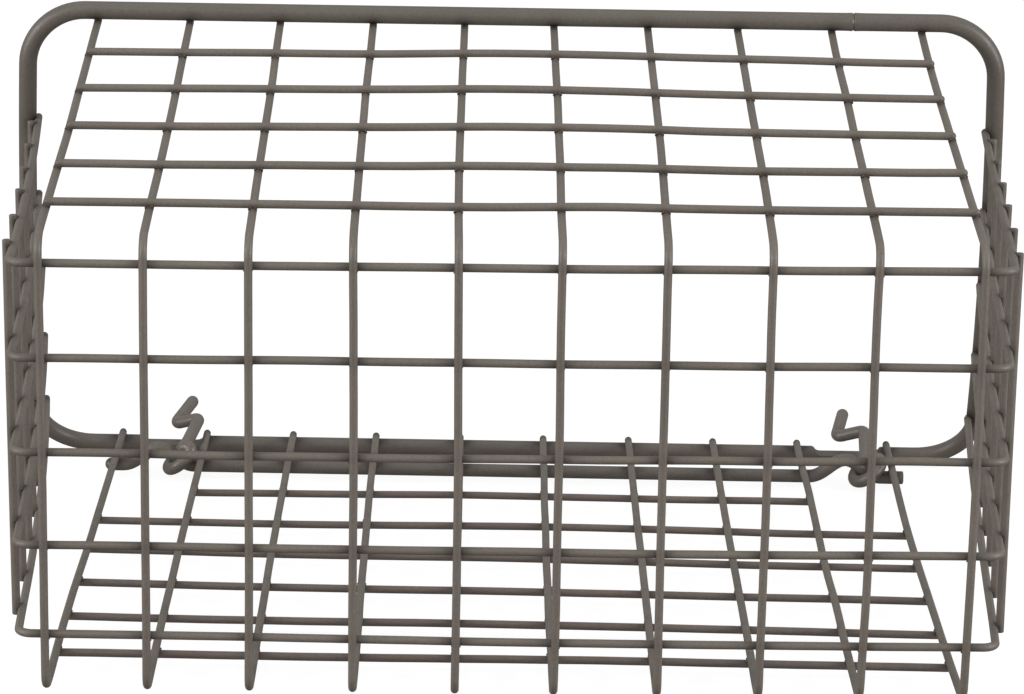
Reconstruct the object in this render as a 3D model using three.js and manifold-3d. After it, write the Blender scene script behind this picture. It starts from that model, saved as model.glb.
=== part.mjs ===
// Wire storage basket with two loose peg hooks, lying on its back panel.
// Millimetres. X runs across the basket, -Y is the side seen first (the basket's own underside when it hangs),
// +Y is the way its mouth faces, +Z points away from the board it hangs on.
import * as THREE from "three";
import Module from "manifold-3d";

// ---- driving dimensions -------------------------------------------------------------------------------------
const PITCH = 25.4; // spacing of the bent mesh wires
const WIRE_COUNT = 10; // bent mesh wires across the width
const WIRE_D = 2.15; // mesh wire
const RIM_D = 5.0; // rim rod
const BAR_D = 3.8; // hanger bar
const HOOK_D = 3.5; // hook wire
const GAP = 0.1; // left between wires that touch at a weld

const FACE_LEAN = 2.2; // degrees the near face leans back
const FACE_TOP = 115.0; // height of the near face's top bend above the lower mesh
const SLOPE_RISE = 8.35; // degrees the upper face climbs towards the mouth
const SLOPE_LENGTH = 149.5; // top bend to the middle of the rim's upper bar, along the upper face
const LOWER_BEND_R = 4.0; // bends of the mesh wires, on the centre line
const UPPER_BEND_R = 5.0;
const WIRE_PAST_BACK = 0.6; // mesh wires run on past the middle of the rim's lower bar
const WIRE_PAST_TOP = 1.8; // and of its upper bar
const CROSS_SHORT = 0.4; // cross wires stop this short of the outer face of the last mesh wire

const SLOPE_CROSS = [18.46, 43.71, 69.58, 95.87, 122.41]; // along the upper face from the top bend
const FLOOR_CROSS = [28.69, 53.23, 77.79, 103.35, 129.18, 155.25]; // from the near face along the lower mesh
const SLOPE_SKEW = [0.0079, 0.0084, 0.008, 0.0043, 0.0037]; // how far out of square each cross wire lies, per mm of X
const FLOOR_SKEW = [-0.0085, -0.0207, -0.0223, -0.0265, -0.0104, -0.004];
const SHORT_CROSS = 5; // index of the lower cross wire that stops one mesh wire in from each side

const BELT_Z = [108.71, 84.92, 61.03, 37.0, 13.36]; // heights of the U-shaped belts
const BELT_DROP = 0.006; // the belts sink this much per mm towards the mouth
const BELT_X = { "-1": -121.2, 1: 122.6 }; // the belts' corners at the near face: left, right
const BELT_CORNER_R = 3.6;
const BELT_END_IN = 3.75; // belt ends inside the middle of the rim's sides
const BELT_END_PAST = { "-1": 3.5, 1: -1.9 }; // and past it: left, right

const SIDE_HIGH_Y = { left: [20.0, 44.3, 70.5, 94.8, 120.7, 147.5], right: [21.6, 45.3, 69.4, 93.0, 118.2, 142.8] }; // upper ends
const SIDE_LOW_Y = { left: [20.0, 44.3, 70.5, 94.8, 120.7, 147.5], right: [16.8, 41.9, 65.8, 90.2, 114.0, 138.5] }; // lower ends
const SIDE_PAST_HIGH = 1.6; // the side wires run on past the middle of the top belt
const SIDE_PAST_LOW = 1.1; // and of the bottom one

const SIDE_X = 0.9; // the rim sits this far to the right of the mesh's middle
const BACK_Y = 203.7; // middle of the rim's lower bar
const BACK_SKEW = -0.0082; // how far out of square it lies, per mm of X
const RIM_HALF_TOP = 134.25; // half width of the rim at the upper bar
const RIM_SPREAD = 0.045; // half width gained per mm of height lost
const RIM_LEAN = 0.06; // the rim's sides start back by this much per mm of drop and bow on to the lower bar
const RIM_CORNER_TOP = 15.6;
const RIM_CORNER_BACK = 17.0;
const SEAM_X = 95.2; // butt joint of the rim rod, in its upper bar
const SEAM_GAP = 0.2;
const FLAT_WIDTH = 21.0; // pressed flats in the rim's lower bar, one behind each hook
const FLAT_DEPTH = 1.7;
const FLAT_X = [-98.8, 103.0];

const BAR_Y = 181.7; // hanger bar
const BAR_SKEW = -0.0101; // how far out of square it lies, per mm of X
const BAR_LEFT = -117.4;
const BAR_RIGHT = 119.4;
const HOOK_X = 101.6; // arches in the hanger bar, 8 in apart
const ARCH_RISE = 4.45;
const ARCH_HALF = 11.0;

const EYE_R = 4.5; // hook, on its centre line
const EYE_END = [-4.6, -2.2, 2.7]; // its end is bent in over the bar: along the shank, along the reach, to the side
const EYE_FROM = 62; // degrees round the eye, from the shank
const EYE_LAP = 220; // where the bend of its end begins
const EYE_TO = 350;
const EYE_SET = 0.5; // the round of the eye lies this far to one side of the shank
const NECK = 4.6; // straight part of the shank starts this far beyond the eye's radius
const SHANK = 21.56; // eye centre to the shank's corner
const REACH = 8.92; // shank's corner to the prong's corner
const PRONG = 13.73;
const HOOK_BEND_R = 2.1;
const REACH_TWIST = -11.7; // degrees the reach turns out of the eye's plane
const REACH_RAKE = 9.9; // degrees it leans away from the eye
const PRONG_OPEN = -10.7; // degrees the prong opens from the shank's direction
const PRONG_ASIDE = -1.1;
// Where each eye hangs on its arch, and which way the hook lies: position along the arch, three angles in degrees,
// and how far the eye's middle is from the bar's, along the shank and along the reach.
const HOOK_POSE = [
  { name: "hook_left", arch: -HOOK_X, along: 5.8, turn: 7.9, tip: 52.1, lift: 18.4, off: [0.315, -0.445] },
  { name: "hook_right", arch: HOOK_X, along: 5.9, turn: 15.9, tip: 52.6, lift: 10.9, off: [0.238, -0.506] },
];
// --------------------------------------------------------------------------------------------------------------

const rad = (a) => (a * Math.PI) / 180;
const V = (x, y, z) => new THREE.Vector3(x, y, z);
const WIRE_R = WIRE_D / 2;
const RIM_R = RIM_D / 2;
const BAR_R = BAR_D / 2;
const HOOK_R = HOOK_D / 2;

// A centre line through given points, with section directions kept to one reference direction.
class CentreLine extends THREE.Curve {
  constructor(points, reference) {
    super();
    this.points = points;
    this.reference = reference;
  }
  getPoint(t, target = new THREE.Vector3()) {
    const last = this.points.length - 1;
    const at = Math.min(Math.max(t, 0), 1) * last;
    const i = Math.min(Math.floor(at), last - 1);
    return target.lerpVectors(this.points[i], this.points[i + 1], at - i);
  }
  getPointAt(u, target) {
    return this.getPoint(u, target);
  }
  getSpacedPoints() {
    return this.points.map((p) => p.clone());
  }
  computeFrenetFrames() {
    const p = this.points;
    const last = p.length - 1;
    const tangents = [];
    const normals = [];
    const binormals = [];
    for (let i = 0; i <= last; i++) {
      const before = i > 0 ? p[i].clone().sub(p[i - 1]).normalize() : null;
      const after = i < last ? p[i + 1].clone().sub(p[i]).normalize() : null;
      const t = (before && after ? before.clone().add(after) : before || after).normalize();
      const n = this.reference.clone().addScaledVector(t, -this.reference.dot(t)).normalize();
      tangents.push(t);
      normals.push(n);
      binormals.push(t.clone().cross(n));
    }
    return { tangents, normals, binormals };
  }
}

// A rod of regular section with flats facing the reference direction.
function rod(points, radius, sides, reference) {
  const shape = new THREE.Shape(
    Array.from({ length: sides }, (_, i) => {
      const a = ((i + 0.5) * 2 * Math.PI) / sides;
      return new THREE.Vector2(radius * Math.cos(a), radius * Math.sin(a));
    }),
  );
  return new THREE.ExtrudeGeometry(shape, {
    steps: points.length - 1,
    curveSegments: 1,
    bevelEnabled: false,
    extrudePath: new CentreLine(points, reference),
  });
}

// A polyline with its corners rounded to given radii.
function rounded(corners, radii, steps) {
  const out = [corners[0].clone()];
  for (let i = 1; i < corners.length - 1; i++) {
    const c = corners[i];
    const u = corners[i - 1].clone().sub(c).normalize();
    const w = corners[i + 1].clone().sub(c).normalize();
    const half = u.angleTo(w) / 2;
    const r = radii[i - 1];
    const reach = r / Math.tan(half);
    const centre = c.clone().addScaledVector(u.clone().add(w).normalize(), r / Math.sin(half));
    const from = c.clone().addScaledVector(u, reach).sub(centre);
    const axis = from.clone().cross(c.clone().addScaledVector(w, reach).sub(centre)).normalize();
    const sweep = Math.PI - 2 * half;
    for (let k = 0; k <= steps; k++)
      out.push(centre.clone().add(from.clone().applyAxisAngle(axis, (sweep * k) / steps)));
  }
  out.push(corners[corners.length - 1].clone());
  return out;
}

function bezier(p0, p1, p2, p3, steps) {
  const c = new THREE.CubicBezierCurve3(p0, p1, p2, p3);
  return Array.from({ length: steps + 1 }, (_, i) => c.getPoint(i / steps));
}

const group = new THREE.Group();
const coat = (name, colour, roughness) => {
  const m = new THREE.MeshStandardMaterial({ color: colour, metalness: 0.35, roughness });
  m.name = name;
  return m;
};
function add(name, geometry, material) {
  const mesh = new THREE.Mesh(geometry, material);
  mesh.name = name;
  group.add(mesh);
}
const two = (n) => String(n).padStart(2, "0");

// ---- mesh wires ------------------------------------------------------------------------------------------------
const lean = Math.tan(rad(FACE_LEAN));
const topBend = V(0, FACE_TOP * lean, FACE_TOP);
const slope = V(0, Math.cos(rad(SLOPE_RISE)), Math.sin(rad(SLOPE_RISE)));
const slopeOut = V(0, -Math.sin(rad(SLOPE_RISE)), Math.cos(rad(SLOPE_RISE)));
const onSlope = (along, out) => topBend.clone().addScaledVector(slope, along).addScaledVector(slopeOut, out);

const backY = (x) => BACK_Y + BACK_SKEW * x;
for (let i = 0; i < WIRE_COUNT; i++) {
  const x = (i - (WIRE_COUNT - 1) / 2) * PITCH;
  const corners = [
    V(0, backY(x) + WIRE_PAST_BACK, 0),
    V(0, 0, 0),
    topBend,
    onSlope(SLOPE_LENGTH + WIRE_PAST_TOP, 0),
  ].map((p) => V(x, p.y, p.z));
  const line = rounded(corners, [LOWER_BEND_R, UPPER_BEND_R], 6);
  add("mesh_wire_" + two(i + 1), rod(line, WIRE_R, 8, V(1, 0, 0)), coat("wire_coat", 0x6a645e, 0.5));
}

// ---- cross wires ---------------------------------------------------------------------------------------------
const fullHalf = ((WIRE_COUNT - 1) / 2) * PITCH + WIRE_R - CROSS_SHORT;
const straight = (from, to, reference) => rod([from, to], WIRE_R, 8, reference);

SLOPE_CROSS.forEach((along, k) => {
  const end = (x) => onSlope(along + SLOPE_SKEW[k] * x, WIRE_D + GAP).setX(x);
  add(
    "slope_cross_wire_" + (k + 1),
    straight(end(-fullHalf), end(fullHalf), slopeOut),
    coat("wire_coat", 0x6a645e, 0.5),
  );
});

FLOOR_CROSS.forEach((y, k) => {
  const half = k === SHORT_CROSS ? fullHalf - PITCH : fullHalf;
  const end = (x) => V(x, y + FLOOR_SKEW[k] * x, -(WIRE_D + GAP));
  add(
    "floor_cross_wire_" + (k + 1),
    straight(end(-half), end(half), V(0, 0, 1)),
    coat("wire_coat", 0x6a645e, 0.5),
  );
});

// ---- rim -----------------------------------------------------------------------------------------------------
const rimTop = onSlope(SLOPE_LENGTH, WIRE_R + RIM_R + GAP);
const backZ = -(WIRE_R + RIM_R + GAP);
const drop = rimTop.z - backZ;
const backHalf = RIM_HALF_TOP + RIM_SPREAD * drop;
// The bow is set so that each side meets the lower bar's end.
const bow = (sign) => (backY(SIDE_X + sign * backHalf) - rimTop.y - RIM_LEAN * drop) / (drop * drop);
const rimSide = (sign, w) =>
  V(SIDE_X + sign * (RIM_HALF_TOP + RIM_SPREAD * w), rimTop.y + RIM_LEAN * w + bow(sign) * w * w, rimTop.z - w);
const rimSideDir = (sign, w) => V(sign * RIM_SPREAD, RIM_LEAN + 2 * bow(sign) * w, -1).normalize();
const rimAt = (sign, z) => rimSide(sign, rimTop.z - z);

const wTop = RIM_CORNER_TOP;
const wBack = drop - RIM_CORNER_BACK * 0.86;
const K = 0.5523;
function rimHalf(sign) {
  // From the upper bar round one side to the lower bar.
  const out = V(sign, 0, 0);
  const a = V(SIDE_X + sign * (RIM_HALF_TOP - RIM_CORNER_TOP), rimTop.y, rimTop.z);
  const b = rimSide(sign, wTop);
  const c = rimSide(sign, wBack);
  const d = V(SIDE_X + sign * (backHalf - RIM_CORNER_BACK), 0, backZ);
  d.y = backY(d.x);
  const along = V(sign, sign * BACK_SKEW, 0).normalize();
  const line = bezier(
    a,
    a.clone().addScaledVector(out, K * RIM_CORNER_TOP),
    b.clone().addScaledVector(rimSideDir(sign, wTop), -K * RIM_CORNER_TOP),
    b,
    8,
  );
  const side = 12;
  for (let k = 1; k <= side; k++) line.push(rimSide(sign, wTop + ((wBack - wTop) * k) / side));
  line.push(
    ...bezier(
      c,
      c.clone().addScaledVector(rimSideDir(sign, wBack), K * RIM_CORNER_BACK),
      d.clone().addScaledVector(along, K * RIM_CORNER_BACK),
      d,
      8,
    ).slice(1),
  );
  return line;
}
const rimLine = [
  V(SEAM_X, rimTop.y, rimTop.z),
  ...rimHalf(1),
  ...rimHalf(-1).reverse(),
  V(SEAM_X - SEAM_GAP, rimTop.y, rimTop.z),
];

const wasm = await Module();
wasm.setup();
const { Manifold, Mesh } = wasm;

function toSolid(geometry) {
  const g = geometry.index ? geometry.toNonIndexed() : geometry;
  const p = g.getAttribute("position");
  const seen = new Map();
  const verts = [];
  const tris = [];
  for (let i = 0; i < p.count; i++) {
    const key = [p.getX(i), p.getY(i), p.getZ(i)].map((v) => Math.round(v * 2000)).join();
    if (!seen.has(key)) {
      seen.set(key, verts.length / 3);
      verts.push(p.getX(i), p.getY(i), p.getZ(i));
    }
    tris.push(seen.get(key));
  }
  return new Manifold(
    new Mesh({ numProp: 3, vertProperties: new Float32Array(verts), triVerts: new Uint32Array(tris) }),
  );
}

function fromSolid(solid) {
  const m = solid.getMesh();
  const v = new Float32Array(m.numVert * 3);
  for (let i = 0; i < m.numVert; i++) v.set(m.vertProperties.subarray(i * m.numProp, i * m.numProp + 3), i * 3);
  const g = new THREE.BufferGeometry();
  g.setAttribute("position", new THREE.BufferAttribute(v, 3));
  g.setIndex(new THREE.BufferAttribute(new Uint32Array(m.triVerts), 1));
  const flat = g.toNonIndexed();
  flat.computeVertexNormals();
  return flat;
}

const flatTop = backZ + RIM_R * Math.cos(Math.PI / 12) - FLAT_DEPTH;
let rim = toSolid(rod(rimLine, RIM_R, 12, V(0, 1, 0)));
for (const x of FLAT_X)
  rim = rim.subtract(
    toSolid(new THREE.BoxGeometry(FLAT_WIDTH, 4 * RIM_D, RIM_D).translate(x, BACK_Y, flatTop + RIM_D / 2)),
  );
add("rim", fromSolid(rim), coat("rim_coat", 0x68625d, 0.48));

// ---- belts and side wires --------------------------------------------------------------------------------------
const beltY = (z) => z * lean + (WIRE_D + GAP) / Math.cos(rad(FACE_LEAN));
const beltAt = (k, y) => BELT_Z[k] - BELT_DROP * (y - beltY(BELT_Z[k]));
const beltEnd = (k, s) => {
  const r = rimAt(s, BELT_Z[k] - 1);
  const y = r.y + BELT_END_PAST[s];
  return V(r.x - s * BELT_END_IN, y, beltAt(k, y));
};
const beltCorner = (k, s) => V(BELT_X[s], beltY(BELT_Z[k]), BELT_Z[k]);
BELT_Z.forEach((_, k) => {
  const corners = [beltEnd(k, -1), beltCorner(k, -1), beltCorner(k, 1), beltEnd(k, 1)];
  const line = rounded(corners, [BELT_CORNER_R, BELT_CORNER_R], 6);
  add("belt_wire_" + (k + 1), rod(line, WIRE_R, 8, V(0, 0, 1)), coat("wire_coat", 0x6a645e, 0.5));
});

// Each side wire stands outside all five belts, as close as the furthest out of them lets it.
for (const [side, s] of [
  ["left", -1],
  ["right", 1],
])
  SIDE_HIGH_Y[side].forEach((yHigh, j) => {
    const yLow = SIDE_LOW_Y[side][j];
    const last = BELT_Z.length - 1;
    const part = (k) => (BELT_Z[0] - BELT_Z[k]) / (BELT_Z[0] - BELT_Z[last]);
    const need = BELT_Z.map((_, k) => {
      const from = beltCorner(k, s);
      const to = beltEnd(k, s);
      const flare = (to.x - from.x) / (to.y - from.y);
      const y = yHigh + (yLow - yHigh) * part(k);
      return s * (from.x + flare * (y - from.y)) + (WIRE_D + GAP) * Math.hypot(1, flare);
    });
    const extra = Math.max(...need.map((x, k) => x - (need[0] + (need[last] - need[0]) * part(k))));
    const high = V(s * (need[0] + extra), yHigh, beltAt(0, yHigh));
    const low = V(s * (need[last] + extra), yLow, beltAt(last, yLow));
    const up = high.clone().sub(low).normalize();
    high.addScaledVector(up, SIDE_PAST_HIGH);
    low.addScaledVector(up, -SIDE_PAST_LOW);
    add("side_wire_" + side + "_" + (j + 1), straight(low, high, V(1, 0, 0)), coat("wire_coat", 0x6a645e, 0.5));
  });

// ---- hanger bar --------------------------------------------------------------------------------------------------
const barZ = -(WIRE_R + BAR_R + GAP);
const archAt = (u) => (Math.abs(u) < ARCH_HALF ? 0.5 * ARCH_RISE * (1 + Math.cos((Math.PI * u) / ARCH_HALF)) : 0);
const barY = (x) => BAR_Y + BAR_SKEW * x;
const barLine = [V(BAR_LEFT, barY(BAR_LEFT), barZ)];
for (const x of [-HOOK_X, HOOK_X])
  for (let k = -7; k <= 7; k++) {
    const u = (ARCH_HALF * k) / 7;
    barLine.push(V(x + u, barY(x + u), barZ + archAt(u)));
  }
barLine.push(V(BAR_RIGHT, barY(BAR_RIGHT), barZ));
add("hanger_bar", rod(barLine, BAR_R, 12, V(0, 1, 0)), coat("bar_coat", 0x67615b, 0.5));

// ---- hooks -------------------------------------------------------------------------------------------------------
for (const pose of HOOK_POSE) {
  const n = V(
    Math.cos(rad(pose.tip)) * Math.cos(rad(pose.turn)),
    Math.cos(rad(pose.tip)) * Math.sin(rad(pose.turn)),
    -Math.sin(rad(pose.tip)),
  );
  const e1 = V(0, 1, 0).addScaledVector(n, -n.y).normalize();
  const e2 = n.clone().cross(e1);
  const th = rad(pose.lift);
  const a = e1.clone().multiplyScalar(Math.cos(th)).addScaledVector(e2, Math.sin(th));
  const b = e1.clone().multiplyScalar(Math.sin(th)).addScaledVector(e2, -Math.cos(th));
  const o = V(pose.arch + pose.along, barY(pose.arch), barZ + archAt(pose.along))
    .addScaledVector(a, pose.off[0])
    .addScaledVector(b, pose.off[1]);
  // A point of the hook: along the shank, along the reach, and to the side.
  const at = (p, q, h = 0) => o.clone().addScaledVector(a, p).addScaledVector(b, q).addScaledVector(n, -h);

  const mix = (...terms) => terms.reduce((v, [d, f]) => v.addScaledVector(d, f), V(0, 0, 0));
  const c = mix([b, Math.cos(rad(REACH_TWIST))], [n, Math.sin(rad(REACH_TWIST))]);
  const aside = a.clone().cross(c);
  const reach = mix([c, Math.cos(rad(REACH_RAKE))], [a, Math.sin(rad(REACH_RAKE))]);
  const flat = Math.cos(rad(PRONG_ASIDE));
  const prong = mix(
    [a, Math.cos(rad(PRONG_OPEN)) * flat],
    [c, Math.sin(rad(PRONG_OPEN)) * flat],
    [aside, Math.sin(rad(PRONG_ASIDE))],
  );
  const top = at(EYE_R + NECK, 0);
  const knee = at(SHANK, 0);
  const toe = knee.clone().addScaledVector(reach, REACH);
  const tip = toe.clone().addScaledVector(prong, PRONG);
  const line = rounded([tip, toe, knee, top], [HOOK_BEND_R, HOOK_BEND_R], 6);
  const psi0 = rad(EYE_FROM);
  const psi1 = rad(EYE_TO);
  const ring = (psi) => {
    const f = THREE.MathUtils.smoothstep(psi, rad(EYE_LAP), psi1);
    return at(EYE_R * Math.cos(psi) + EYE_END[0] * f, EYE_R * Math.sin(psi) + EYE_END[1] * f, EYE_END[2] * f - EYE_SET);
  };
  const entry = ring(psi0);
  const entryDir = at(-Math.sin(psi0), Math.cos(psi0)).sub(o);
  line.push(
    ...bezier(
      top,
      top.clone().addScaledVector(a, -2.2),
      entry.clone().addScaledVector(entryDir, -2.4),
      entry,
      5,
    ).slice(1),
  );
  for (let k = 1; k <= 20; k++) line.push(ring(psi0 + ((psi1 - psi0) * k) / 20));
  add(pose.name, rod(line, HOOK_R, 10, n), coat("hook_coat", 0x6d6762, 0.46));
}

// ---- the part's frame: middle of the footprint, on the lowest point ------------------------------------------------
group.updateMatrixWorld(true);
const box = new THREE.Box3().setFromObject(group, true);
const shift = V(-(box.min.x + box.max.x) / 2, -(box.min.y + box.max.y) / 2, -box.min.z);
group.children.forEach((m) => m.geometry.translate(shift.x, shift.y, shift.z));
group.name = "wire_peg_basket";

export default group;
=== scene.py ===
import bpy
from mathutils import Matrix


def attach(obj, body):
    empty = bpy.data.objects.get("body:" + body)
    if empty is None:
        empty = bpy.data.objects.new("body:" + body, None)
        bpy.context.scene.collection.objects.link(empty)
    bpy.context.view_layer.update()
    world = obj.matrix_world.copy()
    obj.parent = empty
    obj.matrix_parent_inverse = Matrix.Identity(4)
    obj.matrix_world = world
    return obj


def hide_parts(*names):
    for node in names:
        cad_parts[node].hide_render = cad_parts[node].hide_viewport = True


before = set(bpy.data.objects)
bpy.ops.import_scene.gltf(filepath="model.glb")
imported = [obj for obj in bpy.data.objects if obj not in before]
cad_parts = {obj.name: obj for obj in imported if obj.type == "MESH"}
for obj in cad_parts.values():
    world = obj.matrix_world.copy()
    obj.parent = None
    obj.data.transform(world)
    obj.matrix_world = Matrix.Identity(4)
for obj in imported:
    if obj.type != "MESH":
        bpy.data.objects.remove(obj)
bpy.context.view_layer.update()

import math

import bpy
import numpy as np
from mathutils import Matrix, Vector, kdtree

RNG = np.random.default_rng(7)

# ------------------------------------------------------------------------------------------------------------
# Sizes in millimetres, in the frame of the mesh (middle of the near lower edge). SHIFT moves them to the part's frame.
# ------------------------------------------------------------------------------------------------------------
SHIFT = np.array([-0.9, -109.6643, 6.0886])
PITCH, COUNT = 25.4, 10
WIRE_R, RIM_R, BAR_R, HOOK_R = 1.065, 2.5, 1.93, 1.83
SET = 1.80  # centre to centre where two mesh wires are welded: they sink into each other a little
SIDE_SET = 1.58  # and where the side wires are welded to the belts
LEAN = math.tan(math.radians(2.2))
RISE = math.radians(8.35)
FACE_TOP = 115.0
SLOPE_LENGTH = 149.5
BACK_Y, BACK_SKEW = 203.7, -0.0082
SLOPE_CROSS = [18.46, 43.71, 69.58, 95.87, 122.41]
FLOOR_CROSS = [28.69, 53.23, 77.79, 103.35, 129.18, 155.25]
BELT_Z = [108.71, 84.92, 61.03, 37.0, 13.36]
SIDE_HIGH_Y = {-1: [20.0, 44.3, 70.5, 94.8, 120.7, 147.5], 1: [21.6, 45.3, 69.4, 93.0, 118.2, 142.8]}
SIDE_LOW_Y = {-1: [20.0, 44.3, 70.5, 94.8, 120.7, 147.5], 1: [16.8, 41.9, 65.8, 90.2, 114.0, 138.5]}
SIDE_X = 0.9
SEAM_X = 95.2
FLAT_X = [-99.3, 104.2]
FLAT_WIDTH, FLAT_DEPTH = (18.4, 19.2), (2.0, 2.1)
FLAT_SHOULDER = ((1.9, 2.6), (1.9, 1.9))
BAR_Y, BAR_SKEW, BAR_LEFT, BAR_RIGHT = 181.7, -0.0101, -117.4, 118.9
HOOK_X, ARCH_RISE, ARCH_HALF, ARCH_POWER = 101.6, 5.3, 11.0, 1.225

SLOPE = np.array([0.0, math.cos(RISE), math.sin(RISE)])
SLOPE_OUT = np.array([0.0, -math.sin(RISE), math.cos(RISE)])
TOP_BEND = np.array([0.0, FACE_TOP * LEAN, FACE_TOP])

# How the hand-welded wires stray from straight: (x, offset) along each cross wire, in mm.
SLOPE_STRAY = [
    [(-116, -0.1), (-97, 0.0), (-52, 0.12), (-2, 0.45), (24, 1.5), (46, 1.06), (97, 1.35), (116, 1.45)],
    [(-116, -0.88), (-99, -0.63), (-53, -0.22), (-28, 0.57), (-1, 1.72), (25, 1.38), (48, 0.78), (99, 1.33), (116, 1.53)],
    [(-116, -1.38), (-102, -1.03), (-54, -0.03), (-29, 0.73), (-1, 2.41), (26, 2.18), (49, 0.98), (102, 0.58), (116, 0.41)],
    [(-116, -1.15), (-104, -0.8), (-56, 0.34), (-29, 1.37), (-1, 2.67), (26, 2.11), (50, 1.17), (104, 0.09), (116, -0.01)],
    [(-116, -0.83), (-107, -0.58), (-57, 0.27), (-30, 1.15), (-1, 2.75), (27, 2.25), (52, 1.62), (107, -0.34), (116, -0.54)],
]
FLOOR_STRAY = [
    [(-116, 0.49), (-100, 0.34), (-52, -0.36), (1, -0.22), (27, -0.22), (51, -0.74), (103, -1.79), (116, -2.04)],
    [(-116, 1.6), (-102, 1.15), (-53, 0.2), (1, -0.14), (28, -0.68), (52, -1.47), (106, -3.34), (116, -3.64)],
    [(-116, 2.46), (-104, 1.95), (-55, 0.36), (1, -0.27), (29, -0.89), (53, -1.68), (108, -3.13), (116, -3.43)],
    [(-116, 2.92), (-107, 2.57), (-56, 0.51), (1, 0.01), (30, -1.03), (55, -2.23), (111, -3.81), (116, -3.91)],
    [(-116, 0.74), (-109, 0.54), (-57, -0.56), (1, 0.24), (31, -0.17), (56, -1.24), (84, -2.61), (116, -3.31)],
    [(-92, -0.75), (-81, -0.6), (-58, -0.31), (-29, 0.01), (1, 0.29), (31, -0.37), (57, -0.97), (92, -1.35)],
]
# The belts' sides open towards the mouth: x = corner +- (first * t + second * t^2), t from the near face. Left, right.
BELT_CORNER_X = {-1: -121.2, 1: 122.6}
BELT_FLARE = {
    -1: [(0.0486, 0.000137), (0.0500, 0.00015), (0.0450, 0.00017), (0.0390, 0.000198), (0.0413, 0.000184)],
    1: [(0.0665, 0.00006), (0.0640, 0.0001), (0.0605, 0.00015), (0.0620, 0.00014), (0.0716, 0.00007)],
}
# How far each belt's bend lies off its side run in x, fading along the run.
BELT_BEND_OFF = {-1: [-0.35, -0.5, -0.3, 0.0, 0.3], 1: [-0.6, -0.42, -0.42, -0.12, -0.3]}
BELT_PAST = {-1: [3.5, 3.5, 3.5, 3.5, 3.5], 1: [2.0, -1.9, -1.9, -1.9, -1.9]}
# How much each belt's run across the near face lies above or below level: (x, offset).
BELT_STRAY = [
    [(-120, -0.36), (-96, -0.36), (-72, -0.35), (-48, -0.23), (-24, -0.08), (0, -0.03), (24, 0.08), (48, 0.38), (72, 0.46), (96, 0.7), (120, 0.9)],
    [(-120, -0.33), (-96, -0.3), (-72, -0.18), (-48, -0.05), (0, -0.08), (24, 0.03), (48, 0.07), (72, 0.21), (96, 0.36), (120, 0.49)],
    [(-120, -0.28), (-107, -0.27), (-80, -0.5), (-55, -0.6), (-20, -0.57), (10, -0.4), (35, -0.2), (72, 0.03), (98, 0.42), (120, 0.5)],
    [(-120, -0.07), (-108, -0.08), (0, -0.23), (48, -0.23), (99, 0.15), (120, 0.36)],
    [(-120, 0.53), (-96, 0.48), (-72, 0.35), (-48, 0.15), (-24, 0.05), (0, -0.14), (24, -0.23), (48, -0.18), (72, -0.01), (96, 0.03), (120, 0.12)],
]
# Sideways stray of each bent mesh wire: at the back end, two places along the lower mesh, the lower bend, two places
# on the face, five along the slope, and the rim.
WIRE_STRAY = [
    [0.17, 0.14, -0.16, 0.2, 0.26, 0.04, 0.0, 0.09, 0.23, 0.17, -0.0, -0.11],
    [0.2, -0.12, -0.21, -0.07, -0.0, -0.14, -0.01, 0.26, 0.32, 0.26, 0.14, 0.04],
    [0.72, 0.1, -0.08, -0.01, 0.01, -0.02, -0.07, -0.07, -0.05, -0.12, -0.24, -0.32],
    [0.23, -0.08, 0.23, 0.27, 0.25, -0.03, -0.18, -0.29, -0.25, -0.21, -0.06, 0.07],
    [0.28, 0.28, 0.33, 0.38, 0.48, -0.02, -0.26, -0.43, -0.37, -0.25, -0.04, 0.1],
    [-0.17, -0.62, -0.68, -0.35, -0.21, -0.38, -0.39, -0.31, -0.24, -0.35, -0.47, -0.56],
    [0.07, 0.02, 0.0, -0.03, -0.15, -0.19, -0.04, 0.22, 0.33, 0.37, 0.23, 0.09],
    [0.15, -0.17, -0.11, -0.11, 0.09, -0.13, -0.02, 0.11, 0.02, -0.12, -0.18, -0.19],
    [0.19, -0.21, -0.39, -0.11, 0.31, 0.09, 0.23, 0.47, 0.39, 0.27, 0.46, 0.62],
    [1.72, -0.01, -0.1, 0.18, 0.72, 0.46, 0.34, 0.12, -0.15, -0.24, -0.06, 0.2],
]


def vec(x, y, z):
    return np.array([x, y, z], float)


def unit(v):
    return v / np.linalg.norm(v)


def smooth_curve(table, xs):
    """A monotone-stepped cubic through a short table of (x, value)."""
    t = np.array(table, float)
    x, v = t[:, 0], t[:, 1]
    h = np.diff(x)
    d = np.diff(v) / h
    m = np.empty(len(x))
    m[1:-1] = (d[:-1] * h[1:] + d[1:] * h[:-1]) / (h[:-1] + h[1:])
    m[0], m[-1] = d[0], d[-1]
    xs = np.asarray(xs, float)
    i = np.clip(np.searchsorted(x, xs) - 1, 0, len(x) - 2)
    s = (xs - x[i]) / h[i]
    return (
        v[i] * (2 * s**3 - 3 * s**2 + 1)
        + m[i] * h[i] * (s**3 - 2 * s**2 + s)
        + v[i + 1] * (3 * s**2 - 2 * s**3)
        + m[i + 1] * h[i] * (s**3 - s**2)
    )


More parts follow.
